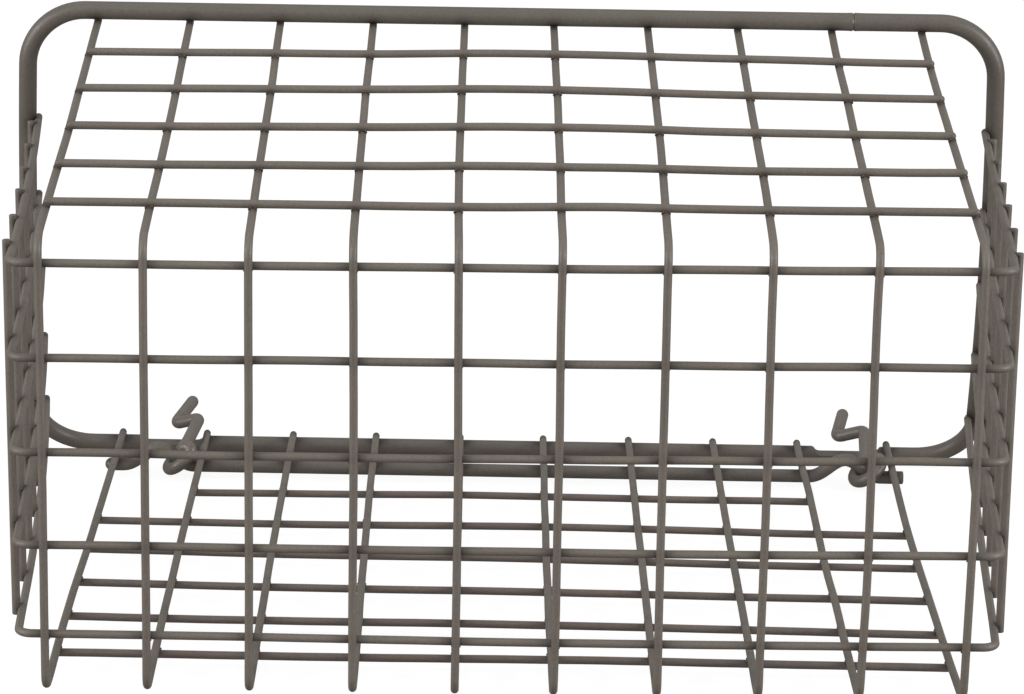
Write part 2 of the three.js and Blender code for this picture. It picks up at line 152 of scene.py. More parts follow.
def rounded(corners, radii, steps):
    """A polyline with its corners rounded to given radii."""
    c = [np.asarray(p, float) for p in corners]
    out = [c[0]]
    for i in range(1, len(c) - 1):
        u, w = unit(c[i - 1] - c[i]), unit(c[i + 1] - c[i])
        half = math.acos(float(np.clip(u @ w, -1, 1))) / 2
        r = radii[i - 1]
        centre = c[i] + unit(u + w) * (r / math.sin(half))
        a = c[i] + u * (r / math.tan(half)) - centre
        b = c[i] + w * (r / math.tan(half)) - centre
        sweep = math.pi - 2 * half
        side = unit(b - a * math.cos(sweep))
        for k in range(steps + 1):
            t = sweep * k / steps
            out.append(centre + a * math.cos(t) + side * np.linalg.norm(a) * math.sin(t))
    out.append(c[-1])
    return np.array(out)


def fill(points, step):
    """The same line with its long stretches divided."""
    out = [points[0]]
    for a, b in zip(points[:-1], points[1:]):
        n = max(1, int(round(np.linalg.norm(b - a) / step)))
        out.extend(a + (b - a) * k / n for k in range(1, n + 1))
    return np.array(out)


def bezier(p0, p1, p2, p3, steps):
    t = np.linspace(0, 1, steps + 1)[:, None]
    return (1 - t) ** 3 * p0 + 3 * (1 - t) ** 2 * t * p1 + 3 * (1 - t) * t**2 * p2 + t**3 * p3


def arc_length(points):
    return np.concatenate([[0], np.cumsum(np.linalg.norm(np.diff(points, axis=0), axis=1))])


def tangents(points):
    d = np.diff(points, axis=0)
    d /= np.linalg.norm(d, axis=1)[:, None]
    t = np.vstack([d[:1], d[:-1] + d[1:], d[-1:]])
    return t / np.linalg.norm(t, axis=1)[:, None]


# ------------------------------------------------------------------------------------------------------------
# Meshes
# ------------------------------------------------------------------------------------------------------------
# The weld attribute darkens the coat round each weld: partly weld paint, partly painted shade.
PIECES = []  # (object, line) of every rod, for the weld attribute


def new_object(name, verts_mm, faces, material, smooth=True):
    mesh = bpy.data.meshes.new(name)
    mesh.from_pydata(((np.asarray(verts_mm) + SHIFT) / 1000).tolist(), [], faces)
    mesh.update()
    if smooth:
        mesh.polygons.foreach_set("use_smooth", [True] * len(mesh.polygons))
    mesh.materials.append(material)
    o = bpy.data.objects.new(name, mesh)
    bpy.context.scene.collection.objects.link(o)
    return o


def rod(points, radius, sides, reference, ends=("cut", "cut"), shape=None, chamfer=0.16):
    """Vertices and faces of a round rod along a line. shape(ring, i) may press a ring of points out of round."""
    points = np.asarray(points, float)
    t = tangents(points)
    n = np.asarray(reference, float) - (t @ reference)[:, None] * t
    n /= np.linalg.norm(n, axis=1)[:, None]
    b = np.cross(t, n)
    ang = 2 * np.pi * (np.arange(sides) + 0.5) / sides
    radius = np.broadcast_to(np.asarray(radius, float), len(points))

    stations = []  # (centre, radius, frame index)

    def end_profile(kind, r):
        if kind == "nib":
            return [(1.5 * r * math.sin(a), r * math.cos(a)) for a in np.linspace(0, math.pi / 2, 8)[1:-1]] + [(1.5 * r, r * 0.1)]
        if kind == "dome":
            return [(r * math.sin(a), r * math.cos(a)) for a in np.linspace(0, math.pi / 2, 7)[1:-1]] + [(r, r * 0.08)]
        c = min(chamfer, 0.3 * r)
        return [(0.35 * c, r - 0.08 * c), (0.75 * c, r - 0.4 * c), (c, r - c), (c, 0.72 * r)]

    along = arc_length(points)
    first, last = end_profile(ends[0], radius[0])[-1][0], end_profile(ends[1], radius[-1])[-1][0]
    for i in range(len(points)):
        if i in (0, len(points) - 1) or (along[i] > first + 0.05 and along[-1] - along[i] > last + 0.05):
            stations.append((points[i], radius[i], i))
    head = [(points[0] - t[0] * (d - end_profile(ends[0], radius[0])[-1][0]), r, 0) for d, r in end_profile(ends[0], radius[0])]
    tail = [
        (points[-1] + t[-1] * (d - end_profile(ends[1], radius[-1])[-1][0]), r, len(points) - 1)
        for d, r in end_profile(ends[1], radius[-1])
    ]
    # The ends' profiles stay inside the line's length, so the first and last rings move in to where they start.
    stations[0] = (points[0] + t[0] * end_profile(ends[0], radius[0])[-1][0], radius[0], 0)
    stations[-1] = (points[-1] - t[-1] * end_profile(ends[1], radius[-1])[-1][0], radius[-1], len(points) - 1)
    stations = head[::-1] + stations + tail

    rings = []
    for c, r, i in stations:
        ring = c + r * (np.cos(ang)[:, None] * n[i] + np.sin(ang)[:, None] * b[i])
        rings.append(shape(ring, c, r) if shape else ring)
    verts = np.vstack(rings + [[stations[0][0]], [stations[-1][0]]])
    m = len(rings)
    faces = []
    for i in range(m - 1):
        for k in range(sides):
            j = (k + 1) % sides
            faces.append((i * sides + k, i * sides + j, (i + 1) * sides + j, (i + 1) * sides + k))
    first, last = m * sides, m * sides + 1
    for k in range(sides):
        j = (k + 1) % sides
        faces.append((first, j, k))
        faces.append((last, (m - 1) * sides + k, (m - 1) * sides + j))
    return verts, faces


def closest(a, b):
    """Where two lines pass each other: points and directions on both."""
    d = np.linalg.norm(a[:, None] - b[None], axis=2)
    i, j = np.unravel_index(np.argmin(d), d.shape)
    best = None
    for p in range(max(0, i - 1), min(len(a) - 1, i + 1)):
        for q in range(max(0, j - 1), min(len(b) - 1, j + 1)):
            u, v, w = a[p + 1] - a[p], b[q + 1] - b[q], a[p] - b[q]
            uu, uv, vv, uw, vw = u @ u, u @ v, v @ v, u @ w, v @ w
            den = uu * vv - uv * uv
            s = np.clip((uv * vw - vv * uw) / den, 0, 1) if den > 1e-9 else 0.0
            t = np.clip((uv * s + vw) / vv, 0, 1)
            s = np.clip((uv * t - uw) / uu, 0, 1)
            pa, pb = a[p] + s * u, b[q] + t * v
            dist = np.linalg.norm(pa - pb)
            if best is None or dist < best[0]:
                best = (dist, pa, unit(u), pb, unit(v))
    return best


WELD_POINTS = []


def weld(a, ra, b, rb, size=1.0, reach=2.2, inner=0):
    """The small fillet of metal and paint where two round wires are spot welded, as a closed shell."""
    _, pa, da, pb, db = closest(a, b)
    n = unit(pb - pa)
    d = np.linalg.norm(pb - pa)
    e1 = unit(da - (da @ n) * n)
    e2 = np.cross(n, e1)
    dbt = unit(db - (db @ n) * n)
    cross = abs(np.cross(e1, dbt) @ n)
    if cross < 0.2:
        e1 = unit(e1)
    origin = pa + n * (ra + (d - ra - rb) / 2)
    WELD_POINTS.append((origin, n, reach, 1.3 if ra == rb else 0.0))
    na, nb = ra + (d - ra - rb) / 2, rb + (d - ra - rb) / 2
    small = min(ra, rb)
    seg, levels = 40, 9
    phase, lump = RNG.uniform(0, 6.28), RNG.uniform(0.02, 0.09)
    grow = size * RNG.uniform(0.92, 1.1)
    web = small * RNG.uniform(0.28, 0.48) * (1.0 if ra == rb else 0.0)
    verts, faces = [], []
    for k in range(seg):
        phi = 2 * math.pi * k / seg
        u = math.cos(phi) * e1 + math.sin(phi) * e2
        qa, qb = np.linalg.norm(np.cross(u, e1)), np.linalg.norm(np.cross(u, dbt))
        s0 = small * grow * (0.98 + 0.30 * (2 * qa * qb) ** 2) * (1 + lump * math.sin(3 * phi + phase))
        s0 = min(s0, 0.965 * ra / max(qa, 1e-3), 0.965 * rb / max(qb, 1e-3), 1.5 * small)
        ha = -na + math.sqrt(ra**2 - (s0 * qa) ** 2)
        hb = nb - math.sqrt(rb**2 - (s0 * qb) ** 2)
        ear = web * (2 * qa * qb) ** 1.5 * (1 + 0.35 * math.sin(phi + phase))
        if inner * u[0] < -0.1:
            ear, s0 = 0.0, min(s0, 0.9 * small)
            ha = -na + math.sqrt(ra**2 - (s0 * qa) ** 2)
            hb = nb - math.sqrt(rb**2 - (s0 * qb) ** 2)
        for j in range(levels):
            f = j / (levels - 1)
            s = s0 * (1 - 0.17 * math.sin(math.pi * f)) + ear * math.sin(math.pi * f)
            h = ha + (hb - ha) * f + (-0.05 if j == 0 else 0.05 if j == levels - 1 else 0) * small
            verts.append(origin + s * u + h * n)
    for k in range(seg):
        m = (k + 1) % seg
        for j in range(levels - 1):
            faces.append((k * levels + j, m * levels + j, m * levels + j + 1, k * levels + j + 1))
    low, high = len(verts), len(verts) + 1
    verts += [origin - n * 0.45 * ra, origin + n * 0.45 * rb]
    for k in range(seg):
        m = (k + 1) % seg
        faces.append((low, m * levels, k * levels))
        faces.append((high, k * levels + levels - 1, m * levels + levels - 1))
    return verts, faces


# ------------------------------------------------------------------------------------------------------------
# Materials: a warm grey baked-on coat, a little uneven, over drawn wire
# ------------------------------------------------------------------------------------------------------------
def coat(name, light, dark, rough, seed):
    m = bpy.data.materials.new(name)
    m.use_nodes = True
    t = m.node_tree
    t.nodes.clear()
    new, link = t.nodes.new, t.links.new
    out = new("ShaderNodeOutputMaterial")
    p = new("ShaderNodeBsdfPrincipled")
    link(p.outputs["BSDF"], out.inputs["Surface"])
    where = new("ShaderNodeTexCoord")
    place = new("ShaderNodeMapping")
    place.inputs["Location"].default_value = (seed, seed * 1.7, -seed)
    link(where.outputs["Object"], place.inputs["Vector"])

    def noise(scale, detail, roughness=0.55):
        n = new("ShaderNodeTexNoise")
        n.inputs["Scale"].default_value = scale
        n.inputs["Detail"].default_value = detail
        n.inputs["Roughness"].default_value = roughness
        link(place.outputs["Vector"], n.inputs["Vector"])
        return n.outputs["Fac"]

    def span(value, a, b, c, d):
        r = new("ShaderNodeMapRange")
        for key, v in (("From Min", a), ("From Max", b), ("To Min", c), ("To Max", d)):
            r.inputs[key].default_value = v
        link(value, r.inputs["Value"])
        return r.outputs["Result"]

    cloud, grain, dust = noise(38, 4), noise(1500, 2), noise(260, 3)
    # Broad clouds of thicker and thinner coat.
    mix = new("ShaderNodeMix")
    mix.data_type = "RGBA"
    mix.inputs["A"].default_value = (*dark, 1)
    mix.inputs["B"].default_value = (*light, 1)
    link(span(cloud, 0.32, 0.68, 0, 1), mix.inputs["Factor"])
    # Fine speckle of the baked powder.
    speck = new("ShaderNodeMix")
    speck.data_type = "RGBA"
    speck.blend_type = "MULTIPLY"
    speck.inputs["Factor"].default_value = 1
    link(mix.outputs["Result"], speck.inputs["A"])
    tint = new("ShaderNodeCombineColor")
    for ch, lo, hi in (("Red", 0.90, 1.10), ("Green", 0.90, 1.10), ("Blue", 0.91, 1.09)):
        link(span(grain, 0.3, 0.7, lo, hi), tint.inputs[ch])
    link(tint.outputs["Color"], speck.inputs["B"])
    # Darker round the welds: partly paint gathered at the welds, partly painted shade where the wires cross and shadow
    # each other.
    near = new("ShaderNodeAttribute")
    near.attribute_name = "weld"
    weld_paint_and_shade = new("ShaderNodeMix")
    weld_paint_and_shade.data_type = "RGBA"
    weld_paint_and_shade.blend_type = "MULTIPLY"
    # Dark warm brown multiplied in round each weld: weld paint and painted shade at the crossings.
    weld_paint_and_shade.inputs["B"].default_value = (0.26, 0.22, 0.20, 1)
    link(speck.outputs["Result"], weld_paint_and_shade.inputs["A"])
    mul = new("ShaderNodeMath")
    mul.operation = "MULTIPLY"
    link(near.outputs["Fac"], mul.inputs[0])
    link(span(dust, 0.35, 0.65, 0.55, 1.0), mul.inputs[1])
    link(mul.outputs["Value"], weld_paint_and_shade.inputs["Factor"])
    link(weld_paint_and_shade.outputs["Result"], p.inputs["Base Color"])
    # Satin, with a slightly uneven gloss.
    link(span(dust, 0.3, 0.7, rough - 0.07, rough + 0.07), p.inputs["Roughness"])
    p.inputs["Metallic"].default_value = 0.0
    p.inputs["IOR"].default_value = 1.5
    p.inputs["Specular IOR Level"].default_value = 0.5
    # Orange peel.
    add = new("ShaderNodeMath")
    add.operation = "MULTIPLY_ADD"
    add.inputs[1].default_value = 0.35
    link(noise(2200, 2), add.inputs[0])
    link(noise(620, 2), add.inputs[2])
    bump = new("ShaderNodeBump")
    bump.inputs["Strength"].default_value = 0.22
    bump.inputs["Distance"].default_value = 0.00022
    link(add.outputs["Value"], bump.inputs["Height"])
    link(bump.outputs["Normal"], p.inputs["Normal"])
    return m


WIRE_COAT = coat("wire_coat", (0.160, 0.138, 0.117), (0.136, 0.117, 0.099), 0.49, 3.0)
# The floor cross wires' coat: a darker, warmer copy of the wire coat, painted shade for the wires lying under the
# lower mesh.
FLOOR_SHADED_COAT = coat("floor_shaded_coat", (0.156, 0.125, 0.108), (0.130, 0.103, 0.090), 0.48, 7.0)
RIM_COAT = coat("rim_coat", (0.129, 0.112, 0.095), (0.109, 0.094, 0.080), 0.44, 11.0)
BAR_COAT = coat("bar_coat", (0.132, 0.115, 0.098), (0.111, 0.097, 0.083), 0.46, 19.0)
HOOK_COAT = coat("hook_coat", (0.158, 0.138, 0.119), (0.136, 0.118, 0.102), 0.36, 27.0)
# The weld shells' coat: darker partly as weld paint, partly as painted shade in the creases where the wires cross.
WELD_COAT_AND_SHADE = coat("weld_coat_and_shade", (0.106, 0.091, 0.078), (0.086, 0.073, 0.062), 0.5, 41.0)

# ------------------------------------------------------------------------------------------------------------
# Centre lines
# ------------------------------------------------------------------------------------------------------------
LINES = {}


def on_slope(along, out, x=0.0):
    p = TOP_BEND + SLOPE * along + SLOPE_OUT * out
    p[0] = x
    return p


def wander(points, amount, axis, seed):
    """A faint hand-made waviness across the line."""
    r = np.random.default_rng(seed)
    s = arc_length(points)
    out = np.zeros(len(points))
    for length in (90.0, 47.0, 21.0):
        out += r.normal() * (length / 90.0) * np.sin(2 * np.pi * s / length + r.uniform(0, 6.28))
    return points + amount * out[:, None] * np.asarray(axis, float)


def mesh_wire(i):
    x = (i - (COUNT - 1) / 2) * PITCH
    corners = [vec(0, BACK_Y + BACK_SKEW * x + 0.9, 0), vec(0, 0, 0), TOP_BEND, on_slope(SLOPE_LENGTH + 1.8, 0)]
    line = fill(rounded(corners, [4.0, 5.5], 12), 6.0)
    s = arc_length(line)
    knots = [0, 74, 159] + [BACK_Y + v for v in (0, 56, 106, 127, 158, 188, 218, 244)] + [s[-1]]
    line[:, 0] = x + smooth_curve(list(zip(knots, WIRE_STRAY[i])), s)
    return wander(line, 0.05, (1, 0, 0), 100 + i)


for i in range(COUNT):
    LINES["mesh_wire_%02d" % (i + 1)] = mesh_wire(i)



def outer_x(i, s):
    """Where mesh wire i stands at a distance s from its back end."""
    l = LINES["mesh_wire_%02d" % (i + 1)]
    return float(np.interp(s, arc_length(l), l[:, 0]))


for k, along in enumerate(SLOPE_CROSS):
    s = BACK_Y + 113 + along
    xs = np.linspace(outer_x(0, s) - 0.5, outer_x(COUNT - 1, s) + 0.8, 47)
    off = smooth_curve(SLOPE_STRAY[k], xs)
    line = np.array([on_slope(along + o, SET, x) for x, o in zip(xs, off)])
    LINES["slope_cross_wire_%d" % (k + 1)] = wander(line, 0.04, SLOPE_OUT, 200 + k)
for k, y in enumerate(FLOOR_CROSS):
    i = 1 if k == 5 else 0
    xs = np.linspace(outer_x(i, BACK_Y - y) - 0.6, outer_x(COUNT - 1 - i, BACK_Y - y) + 0.6, 47)
    off = smooth_curve(FLOOR_STRAY[k], xs)
    line = np.array([vec(x, y + o, -SET) for x, o in zip(xs, off)])
    LINES["floor_cross_wire_%d" % (k + 1)] = wander(line, 0.04, (0, 0, 1), 220 + k)

# The rim: upper bar, bowed sides and lower bar.
RIM_TOP = on_slope(SLOPE_LENGTH, WIRE_R + RIM_R - 0.12)
BACK_Z = -(WIRE_R + RIM_R)
DROP = RIM_TOP[2] - BACK_Z
HALF_TOP, SPREAD, RUN = 134.25, 0.045, 0.06


def back_y(x):
    return BACK_Y + BACK_SKEW * x


BOW = {s: (back_y(SIDE_X + s * (HALF_TOP + SPREAD * DROP)) - RIM_TOP[1] - RUN * DROP) / DROP**2 for s in (-1, 1)}
CORNER_TOP, CORNER_BACK = 15.6, 17.0


def rim_side(sign, w):
    return vec(SIDE_X + sign * (HALF_TOP + SPREAD * w), RIM_TOP[1] + RUN * w + BOW[sign] * w * w, RIM_TOP[2] - w)


def rim_dir(sign, w):
    return unit(vec(sign * SPREAD, RUN + 2 * BOW[sign] * w, -1))


def rim_half(sign):
    k = 0.5523
    out = vec(sign, 0, 0)
    a = vec(SIDE_X + sign * (HALF_TOP - CORNER_TOP), RIM_TOP[1], RIM_TOP[2])
    w0, w1 = CORNER_TOP, DROP - CORNER_BACK * 0.86
    b, c = rim_side(sign, w0), rim_side(sign, w1)
    d = vec(SIDE_X + sign * (HALF_TOP + SPREAD * DROP - CORNER_BACK), 0, BACK_Z)
    d[1] = back_y(d[0])
    first = bezier(a, a + out * k * CORNER_TOP, b - rim_dir(sign, w0) * k * CORNER_TOP, b, 18)
    side = np.array([rim_side(sign, w0 + (w1 - w0) * j / 34) for j in range(1, 35)])
    last = bezier(c, c + rim_dir(sign, w1) * k * CORNER_BACK, d + vec(sign, sign * BACK_SKEW, 0) * k * CORNER_BACK, d, 18)[1:]
    return np.vstack([first, side, last])


right, left = rim_half(1), rim_half(-1)[::-1]
back = np.array([vec(x, back_y(x), BACK_Z) for x in np.arange(right[-1][0] - 0.8, left[0][0] + 0.6, -0.6)])
top_r = np.array([vec(x, RIM_TOP[1], RIM_TOP[2]) for x in np.concatenate([SEAM_X + np.array([0, 0.12, 0.3, 0.6, 1.0]), np.arange(SEAM_X + 3, right[0][0] - 1, 4.0)])])
top_l = np.array([vec(x, RIM_TOP[1], RIM_TOP[2]) for x in np.concatenate([np.arange(left[-1][0] + 4, SEAM_X - 3, 4.0), SEAM_X - np.array([1.0, 0.6, 0.3, 0.12, 0.02])])])
LINES["rim"] = np.vstack([top_r, right, back, left, top_l])


def rim_shape(ring, c, r):
    """Pressed flats on top of the lower bar, the metal spreading sideways, with rounded shoulders."""
    if c[2] > BACK_Z + 4 or abs(c[1] - back_y(c[0])) > 3:
        return ring
    for x0, width, depth, shoulder in zip(FLAT_X, FLAT_WIDTH, FLAT_DEPTH, FLAT_SHOULDER):
        d = width / 2 - abs(c[0] - x0)
        if d > -0.3:
            f = min(1.0, max(0.0, (d + 0.3) / shoulder[int(c[0] > x0)]))
            f = math.sqrt(1 - (1 - f) ** 2)
            cut = BACK_Z + r - depth * f
            ring = ring.copy()
            over = ring[:, 2] > cut - 0.25
            lift = ring[over, 2] - (cut - 0.25)
            ring[over, 2] = cut - 0.25 + 0.25 * (1 - np.exp(-lift / 0.25))
            ring[:, 1] = c[1] + (ring[:, 1] - c[1]) * (1 + 0.04 * f * np.clip((ring[:, 2] - BACK_Z + 1.2) / 2.0, 0, 1))
    return ring


def belt_y(k):
    return BELT_Z[k] * LEAN + SET / math.cos(math.radians(2.2))


def belt_x(k, s, y):
    t = np.asarray(y, float) - 3.0
    first, second = BELT_FLARE[s][k]
    off = BELT_BEND_OFF[s][k] * np.exp(-np.maximum(t - belt_y(k) - 1.0, 0) / 8.0)
    return BELT_CORNER_X[s] + s * (first * t + second * t * t) + off


def belt_z(k, x, y):
    stray = smooth_curve(BELT_STRAY[k], np.clip(x, -120, 120)) * np.exp(-np.maximum(y - belt_y(k), 0) / 40.0)
    return BELT_Z[k] - 0.006 * (y - belt_y(k)) + stray


def belt(k):
    y0 = belt_y(k)

    def half(s):
        end = rim_side(s, RIM_TOP[2] - (BELT_Z[k] - 1))[1] + BELT_PAST[s][k]
        return [vec(belt_x(k, s, y), y, 0) for y in np.linspace(end, y0 + 9, 32)], vec(belt_x(k, s, y0), y0, 0)

    (l, lc), (r, rc) = half(-1), half(1)
    turn = rounded([l[-1], lc, rc, r[-1]], [3.6, 3.6], 12)
    line = fill(np.vstack([l[:-1], turn, r[:-1][::-1]]), 4.0)
    line[:, 2] = belt_z(k, line[:, 0], line[:, 1])
    return wander(line, 0.05, (0, 0, 1), 300 + k)


for k in range(5):
    LINES["belt_wire_%d" % (k + 1)] = belt(k)

for side, s in (("left", -1), ("right", 1)):
    for k in range(6):
        high, low = SIDE_HIGH_Y[s][k], SIDE_LOW_Y[s][k]
        zs = np.array(BELT_Z)
        ys = high + (low - high) * (zs[0] - zs) / (zs[0] - zs[4])
        xs = np.array([belt_x(j, s, y) for j, y in enumerate(ys)]) + s * SIDE_SET * 1.004
        bend = np.polyfit(zs, xs, 2)
        z = np.linspace(zs[4] - 0.006 * low - 1.1, zs[0] - 0.006 * high + 1.6, 25)
        line = np.stack([np.polyval(bend, z), high + (low - high) * (zs[0] - z) / (zs[0] - zs[4]), z], 1)
        LINES["side_wire_%s_%d" % (side, k + 1)] = wander(line, 0.05, (0, 1, 0), 400 + k + (50 if s > 0 else 0))

BAR_Z = -(WIRE_R + BAR_R + 0.06)


def arch(u):
    return ARCH_RISE * (0.5 + 0.5 * math.cos(math.pi * u / ARCH_HALF)) ** ARCH_POWER if abs(u) < ARCH_HALF else 0.0


xs = np.unique(np.concatenate([np.linspace(BAR_LEFT, BAR_RIGHT, 60), np.linspace(-HOOK_X - 12, -HOOK_X + 12, 49), np.linspace(HOOK_X - 12, HOOK_X + 12, 49)]).round(3))
LINES["hanger_bar"] = np.array(
    [vec(x, BAR_Y + BAR_SKEW * x, BAR_Z + arch(x + HOOK_X) + arch(x - HOOK_X)) for x in xs]
)

# Each hook: its arch, where on it the eye hangs, three angles in degrees, and the eye's middle off the bar's.
HOOK_POSE = {
    "hook_left": (-HOOK_X, 5.8, 7.9, 52.1, 18.4, 0.315, -0.445),
    "hook_right": (HOOK_X, 5.9, 15.9, 52.6, 10.9, 0.238, -0.506),
}
EYE_R, EYE_SET, EYE_END = 4.5, 0.5, (-4.6, -2.2, 2.7)
EYE_FROM, EYE_LAP, EYE_TO = math.radians(62), math.radians(220), math.radians(350)
SHANK, REACH, PRONG, HOOK_BEND = 21.56, 9.1, 13.73, 1.95
REACH_TWIST, REACH_RAKE, PRONG_OPEN, PRONG_ASIDE = (math.radians(v) for v in (-11.7, 9.9, -10.7, -1.1))
HOOK_AXIS = {}
for name, (ax, along, turn, tip, lift, da, db) in HOOK_POSE.items():
    turn, tip, lift = math.radians(turn), math.radians(tip), math.radians(lift)
    n = vec(math.cos(tip) * math.cos(turn), math.cos(tip) * math.sin(turn), -math.sin(tip))
    e1 = unit(vec(0, 1, 0) - n[1] * n)
    e2 = np.cross(n, e1)
    a = e1 * math.cos(lift) + e2 * math.sin(lift)
    b = e1 * math.sin(lift) - e2 * math.cos(lift)
    o = vec(ax + along, BAR_Y + BAR_SKEW * ax, -3.075 + arch(along)) + a * da + b * db
    at = lambda p, q, h=0.0: o + a * p + b * q - n * h
    c = b * math.cos(REACH_TWIST) + n * math.sin(REACH_TWIST)
    reach = c * math.cos(REACH_RAKE) + a * math.sin(REACH_RAKE)
    flat = math.cos(PRONG_ASIDE)
    prong = a * math.cos(PRONG_OPEN) * flat + c * math.sin(PRONG_OPEN) * flat + np.cross(a, c) * math.sin(PRONG_ASIDE)
    top, knee = at(EYE_R + 4.6, 0), at(SHANK, 0)
    toe = knee + reach * REACH
    line = list(fill(rounded([toe + prong * PRONG, toe, knee, top], [HOOK_BEND, HOOK_BEND], 16), 1.6))

    def ring(p):
        f = min(1.0, max(0.0, (p - EYE_LAP) / (EYE_TO - EYE_LAP)))
        f = f * f * (3 - 2 * f)
        return at(EYE_R * math.cos(p) + EYE_END[0] * f, EYE_R * math.sin(p) + EYE_END[1] * f, EYE_END[2] * f - EYE_SET)

    go = -a * math.sin(EYE_FROM) + b * math.cos(EYE_FROM)
    entry = ring(EYE_FROM)
    line += list(bezier(top, top - a * 2.2, entry - go * 2.4, entry, 12)[1:])
    line += [ring(EYE_FROM + (EYE_TO - EYE_FROM) * k / 56) for k in range(1, 57)]
    LINES[name] = np.array(line)
    HOOK_AXIS[name] = n

# ------------------------------------------------------------------------------------------------------------
# Where pieces are welded
# ------------------------------------------------------------------------------------------------------------
RADIUS = {"rim": RIM_R, "hanger_bar": BAR_R}


def line(node):
    return (LINES[node], RADIUS.get(node, WIRE_R))


def part_of(node, keep):
    p = LINES[node]
    return (p[keep(p)], RADIUS.get(node, WIRE_R))


wires = ["mesh_wire_%02d" % (i + 1) for i in range(COUNT)]
upper = (fill(np.array([vec(-125, RIM_TOP[1], RIM_TOP[2]), vec(125, RIM_TOP[1], RIM_TOP[2])]), 5.0), RIM_R)
lower = (fill(np.array([vec(-125, back_y(-125), BACK_Z), vec(125, back_y(125), BACK_Z)]), 5.0), RIM_R)
belts = ["belt_wire_%d" % (k + 1) for k in range(5)]


def last(w, row):
    """Which way is inward at the first and last wire of a row."""
    return 1 if w == row[0] else -1 if w == row[-1] else 0


# Every weld: one piece and its line, the other and its line, size, reach of the darkening (weld paint and painted
# shade) in mm, which way is inward.
WELDS = {
    "welds_slope": [(w, line(w), c, line(c), 1.0, 2.2, last(w, wires)) for c in ["slope_cross_wire_%d" % (k + 1) for k in range(5)] for w in wires],
    "welds_floor": [
        (w, line(w), c, line(c), 1.0, 2.2, last(w, wires[1:-1] if k == 5 else wires))
        for k, c in enumerate(["floor_cross_wire_%d" % (k + 1) for k in range(6)])
        for w in (wires[1:-1] if k == 5 else wires)
    ],
    "welds_face": [(w, line(w), c, line(c), 1.0, 2.3, 0) for c in belts for w in wires],
    "welds_sides": [
        (c, line(c), w, line(w), 1.0, 2.1, 0)
        for w in ["side_wire_%s_%d" % (side, j + 1) for side in ("left", "right") for j in range(6)]
        for c in belts
    ],
    "welds_rim": [(w, line(w), "rim", upper, 1.15, 2.5, 0) for w in wires]
    + [(w, line(w), "rim", lower, 1.4, 2.9, 0) for w in wires]
    + [
        (
            c,
            part_of(c, lambda p: (p[:, 0] * s > 100) & (p[:, 1] > 60)),
            "rim",
            part_of("rim", lambda p: (p[:, 0] * s > 100)),
            1.1,
            2.6,
            0,
        )
        for c in belts
        for s in (-1, 1)
    ],
    "welds_hanger": [(w, line(w), "hanger_bar", line("hanger_bar"), 1.1, 2.7, 0) for w in wires],
}


def refine(node, places):
    """Divide a line finely near its welds, so that the coat can darken there with weld paint and painted shade."""
    p = LINES[node]
    s = arc_length(p)
    a, d = p[:-1], np.diff(p, axis=0)
    more = []
    for q in places:
        t = np.clip(np.sum((q - a) * d, 1) / np.sum(d * d, 1), 0, 1)
        k = int(np.argmin(np.linalg.norm(a + t[:, None] * d - q, axis=1)))
        more += [s[k] + t[k] * (s[k + 1] - s[k]) + u for u in np.arange(-4.0, 4.01, 0.8)]
    keep = list(s)
    for v in sorted(more):
        if 0.3 < v < s[-1] - 0.3 and min(abs(v - w) for w in keep) > 0.3:
            keep.append(v)
    keep = np.array(sorted(keep))
    LINES[node] = np.stack([np.interp(keep, s, p[:, c]) for c in range(3)], 1)


touch = {}
for pairs in WELDS.values():
    for na, a, nb, b, *_ in pairs:
        _, pa, _, pb, _ = closest(a[0], b[0])
        touch.setdefault(na, []).append(pa)
        touch.setdefault(nb, []).append(pb)
for node, places in touch.items():
    refine(node, places)

# ------------------------------------------------------------------------------------------------------------
# Pieces
# ------------------------------------------------------------------------------------------------------------
BODY_OF = {"hook_left": "left_hook", "hook_right": "right_hook"}


def make(node, radius, sides, reference, material, ends=("cut", "cut"), shape=None, chamfer=0.16):
    v, f = rod(LINES[node], radius, sides, np.asarray(reference, float), ends, shape, chamfer)
    o = new_object(node + "_skin", v, f, material)
    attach(o, BODY_OF.get(node, "basket"))
    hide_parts(node)
    PIECES.append(o)
    return o


for i in range(COUNT):
    make("mesh_wire_%02d" % (i + 1), WIRE_R - 0.02, 18, (1, 0, 0), WIRE_COAT, ends=("nib", "cut"))
for k in range(5):
    make("slope_cross_wire_%d" % (k + 1), WIRE_R, 18, SLOPE_OUT, WIRE_COAT, ends=("dome", "dome"))
    make("belt_wire_%d" % (k + 1), WIRE_R, 18, (0, 0, 1), WIRE_COAT)
for k in range(6):
    make("floor_cross_wire_%d" % (k + 1), WIRE_R, 18, (0, 0, 1), FLOOR_SHADED_COAT, ends=("dome", "dome"))
    for side in ("left", "right"):
        make("side_wire_%s_%d" % (side, k + 1), WIRE_R, 18, (1, 0, 0), WIRE_COAT)

s = np.abs(LINES["rim"][:, 0] - SEAM_X)
seam = (s < 5) & (LINES["rim"][:, 2] > RIM_TOP[2] - 1)
rim_r = np.full(len(LINES["rim"]), RIM_R)
rim_r[seam] += 0.10 * np.exp(-((s[seam] / 1.1) ** 2)) - 0.26 * np.exp(-((s[seam] / 0.22) ** 2))
make("rim", rim_r, 32, (0, 1, 0), RIM_COAT, shape=rim_shape, chamfer=0.08)
make("hanger_bar", BAR_R, 26, (0, 1, 0), BAR_COAT, ends=("dome", "cut"), chamfer=0.3)
for name in HOOK_POSE:
    make(name, HOOK_R, 24, HOOK_AXIS[name], HOOK_COAT, ends=("dome", "cut"), chamfer=0.3)

